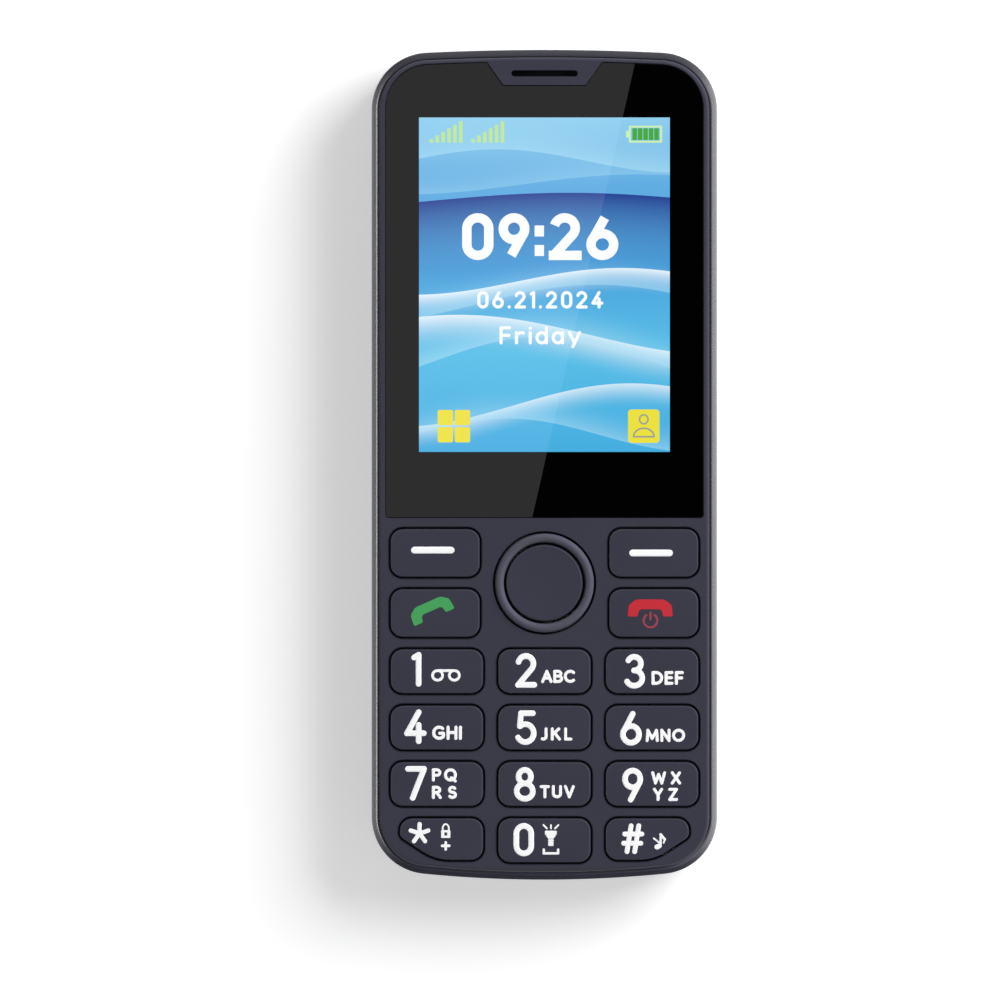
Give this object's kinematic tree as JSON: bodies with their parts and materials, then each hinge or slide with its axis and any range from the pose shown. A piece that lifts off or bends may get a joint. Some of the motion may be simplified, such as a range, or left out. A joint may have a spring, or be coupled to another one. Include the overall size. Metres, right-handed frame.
{
  "type": "feature phone",
  "caption": "Bar-shaped keypad phone with a dark lens over a small screen, push keys, a four-way rocker and a sliding battery cover.",
  "frame": {"origin": "middle of the bounding box's bottom, on the surface that the phone's back lies on", "axes": "+X to the phone's right seen from the front, +Y towards the earpiece, +Z out of the screen"},
  "size_m": [0.0506, 0.1216, 0.0137],
  "materials": {
    "casing": "matte dark slate",
    "key_plastic": "satin dark slate",
    "trim": "satin gunmetal coat",
    "lens_black": "gloss",
    "tape_black": "matte",
    "mesh": "fine weave",
    "silicone": "matte",
    "steel": "plain sheet",
    "contacts": "plated",
    "display_glass": "polished",
    "backlight": "white",
    "flex_film": "film",
    "board": "solder mask",
    "socket_black": "moulded",
    "torch_resin": "resin",
    "clear": "frosted",
    "camera_glass": "dark tinted",
    "battery_wrap": "wrapped cell"
  },
  "bodies": {
    "phone": {"front_case": "casing", "rear_case": "casing", "trim_band": "trim", "lens": "lens_black", "lens_tape": "tape_black", "earpiece_mesh": "mesh", "speaker_mesh": "mesh", "keymat": "silicone", "display_gasket": "silicone", "earpiece_receiver": "steel", "key_domes": "steel", "shield_cans": "steel", "sim_sockets": "steel", "card_socket": "steel", "usb_port": "steel", "microphone": "steel", "vibration_motor": "steel", "case_screws": "steel", "battery_contacts": "contacts", "lcd_panel": "display_glass", "backlight_tray": "backlight", "display_flex": "flex_film", "antenna": "flex_film", "main_board": "board", "audio_jack": "socket_black", "camera_module": "socket_black", "loudspeaker": "socket_black", "torch_led": "torch_resin", "torch_lens": "clear", "camera_window": "camera_glass", "battery": "battery_wrap"},
    "soft_key_left": {"soft_key_left": "key_plastic"},
    "soft_key_right": {"soft_key_right": "key_plastic"},
    "call_key": {"call_key": "key_plastic"},
    "end_key": {"end_key": "key_plastic"},
    "key_1": {"key_1": "key_plastic"},
    "key_2": {"key_2": "key_plastic"},
    "key_3": {"key_3": "key_plastic"},
    "key_4": {"key_4": "key_plastic"},
    "key_5": {"key_5": "key_plastic"},
    "key_6": {"key_6": "key_plastic"},
    "key_7": {"key_7": "key_plastic"},
    "key_8": {"key_8": "key_plastic"},
    "key_9": {"key_9": "key_plastic"},
    "key_star": {"key_star": "key_plastic"},
    "key_0": {"key_0": "key_plastic"},
    "key_hash": {"key_hash": "key_plastic"},
    "ok_key": {"ok_key": "key_plastic"},
    "nav_carrier": {"nav_carrier": "silicone"},
    "nav_ring": {"nav_ring": "trim"},
    "battery_cover": {"battery_cover": "casing"}
  },
  "joints": [
    {"name": "soft_key_left_press", "type": "slide", "parent": "phone", "child": "soft_key_left", "axis": [0, 0, -1], "range_m": [0, 0.00035], "stiffness_N_per_m": 100, "springref_m": -0.0005},
    {"name": "soft_key_right_press", "type": "slide", "parent": "phone", "child": "soft_key_right", "axis": [0, 0, -1], "range_m": [0, 0.00035], "stiffness_N_per_m": 100, "springref_m": -0.0005},
    {"name": "call_key_press", "type": "slide", "parent": "phone", "child": "call_key", "axis": [0, 0, -1], "range_m": [0, 0.00035], "stiffness_N_per_m": 100, "springref_m": -0.0005},
    {"name": "end_key_press", "type": "slide", "parent": "phone", "child": "end_key", "axis": [0, 0, -1], "range_m": [0, 0.00035], "stiffness_N_per_m": 100, "springref_m": -0.0005},
    {"name": "key_1_press", "type": "slide", "parent": "phone", "child": "key_1", "axis": [0, 0, -1], "range_m": [0, 0.00035], "stiffness_N_per_m": 100, "springref_m": -0.0005},
    {"name": "key_2_press", "type": "slide", "parent": "phone", "child": "key_2", "axis": [0, 0, -1], "range_m": [0, 0.00035], "stiffness_N_per_m": 100, "springref_m": -0.0005},
    {"name": "key_3_press", "type": "slide", "parent": "phone", "child": "key_3", "axis": [0, 0, -1], "range_m": [0, 0.00035], "stiffness_N_per_m": 100, "springref_m": -0.0005},
    {"name": "key_4_press", "type": "slide", "parent": "phone", "child": "key_4", "axis": [0, 0, -1], "range_m": [0, 0.00035], "stiffness_N_per_m": 100, "springref_m": -0.0005},
    {"name": "key_5_press", "type": "slide", "parent": "phone", "child": "key_5", "axis": [0, 0, -1], "range_m": [0, 0.00035], "stiffness_N_per_m": 100, "springref_m": -0.0005},
    {"name": "key_6_press", "type": "slide", "parent": "phone", "child": "key_6", "axis": [0, 0, -1], "range_m": [0, 0.00035], "stiffness_N_per_m": 100, "springref_m": -0.0005},
    {"name": "key_7_press", "type": "slide", "parent": "phone", "child": "key_7", "axis": [0, 0, -1], "range_m": [0, 0.00035], "stiffness_N_per_m": 100, "springref_m": -0.0005},
    {"name": "key_8_press", "type": "slide", "parent": "phone", "child": "key_8", "axis": [0, 0, -1], "range_m": [0, 0.00035], "stiffness_N_per_m": 100, "springref_m": -0.0005},
    {"name": "key_9_press", "type": "slide", "parent": "phone", "child": "key_9", "axis": [0, 0, -1], "range_m": [0, 0.00035], "stiffness_N_per_m": 100, "springref_m": -0.0005},
    {"name": "key_star_press", "type": "slide", "parent": "phone", "child": "key_star", "axis": [0, 0, -1], "range_m": [0, 0.00035], "stiffness_N_per_m": 100, "springref_m": -0.0005},
    {"name": "key_0_press", "type": "slide", "parent": "phone", "child": "key_0", "axis": [0, 0, -1], "range_m": [0, 0.00035], "stiffness_N_per_m": 100, "springref_m": -0.0005},
    {"name": "key_hash_press", "type": "slide", "parent": "phone", "child": "key_hash", "axis": [0, 0, -1], "range_m": [0, 0.00035], "stiffness_N_per_m": 100, "springref_m": -0.0005},
    {"name": "ok_key_press", "type": "slide", "parent": "phone", "child": "ok_key", "axis": [0, 0, -1], "range_m": [0, 0.00035], "stiffness_N_per_m": 100, "springref_m": -0.0005},
    {"name": "rocker_left_right", "type": "hinge", "parent": "phone", "child": "nav_carrier", "pos_m": [0, -0.01732, 0.01093], "axis": [0, 1, 0], "range_deg": [-2, 2], "stiffness_Nm_per_rad": 0.002},
    {"name": "rocker_up_down", "type": "hinge", "parent": "nav_carrier", "child": "nav_ring", "pos_m": [0, -0.01732, 0.01093], "axis": [1, 0, 0], "range_deg": [-2, 2], "stiffness_Nm_per_rad": 0.0015},
    {"name": "battery_cover_slide", "type": "slide", "parent": "phone", "child": "battery_cover", "axis": [0, -1, 0], "range_m": [0, 0.09]}
  ]
}
